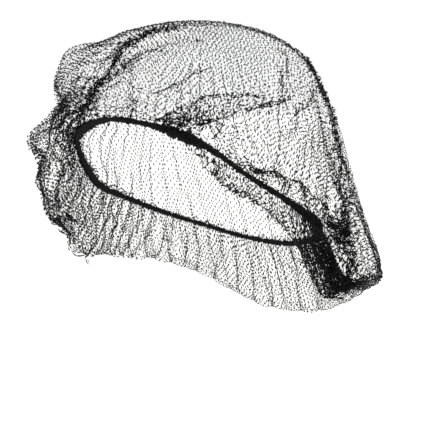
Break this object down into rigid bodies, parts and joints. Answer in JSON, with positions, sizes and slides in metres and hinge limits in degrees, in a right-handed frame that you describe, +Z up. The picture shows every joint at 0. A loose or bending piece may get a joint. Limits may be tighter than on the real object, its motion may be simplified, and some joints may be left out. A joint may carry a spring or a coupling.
{
  "type": "hairnet",
  "caption": "Bouffant hairnet: a slack bag of fine black net with an elastic edge, in the form it has on a head.",
  "frame": {"origin": "on the head's upright axis, at the height where the elastic passes over the ears", "axes": "+Z up, -Y the way the wearer faces, +X the wearer's left"},
  "size_m": [0.2055, 0.2275, 0.2129],
  "materials": {
    "net": "black nylon thread knitted into a fine six-sided mesh",
    "elastic": "black elastic inside its gathered hem"
  },
  "bodies": {
    "root": {"net_bag": "net", "elastic_edge": "elastic"}
  },
  "joints": []
}
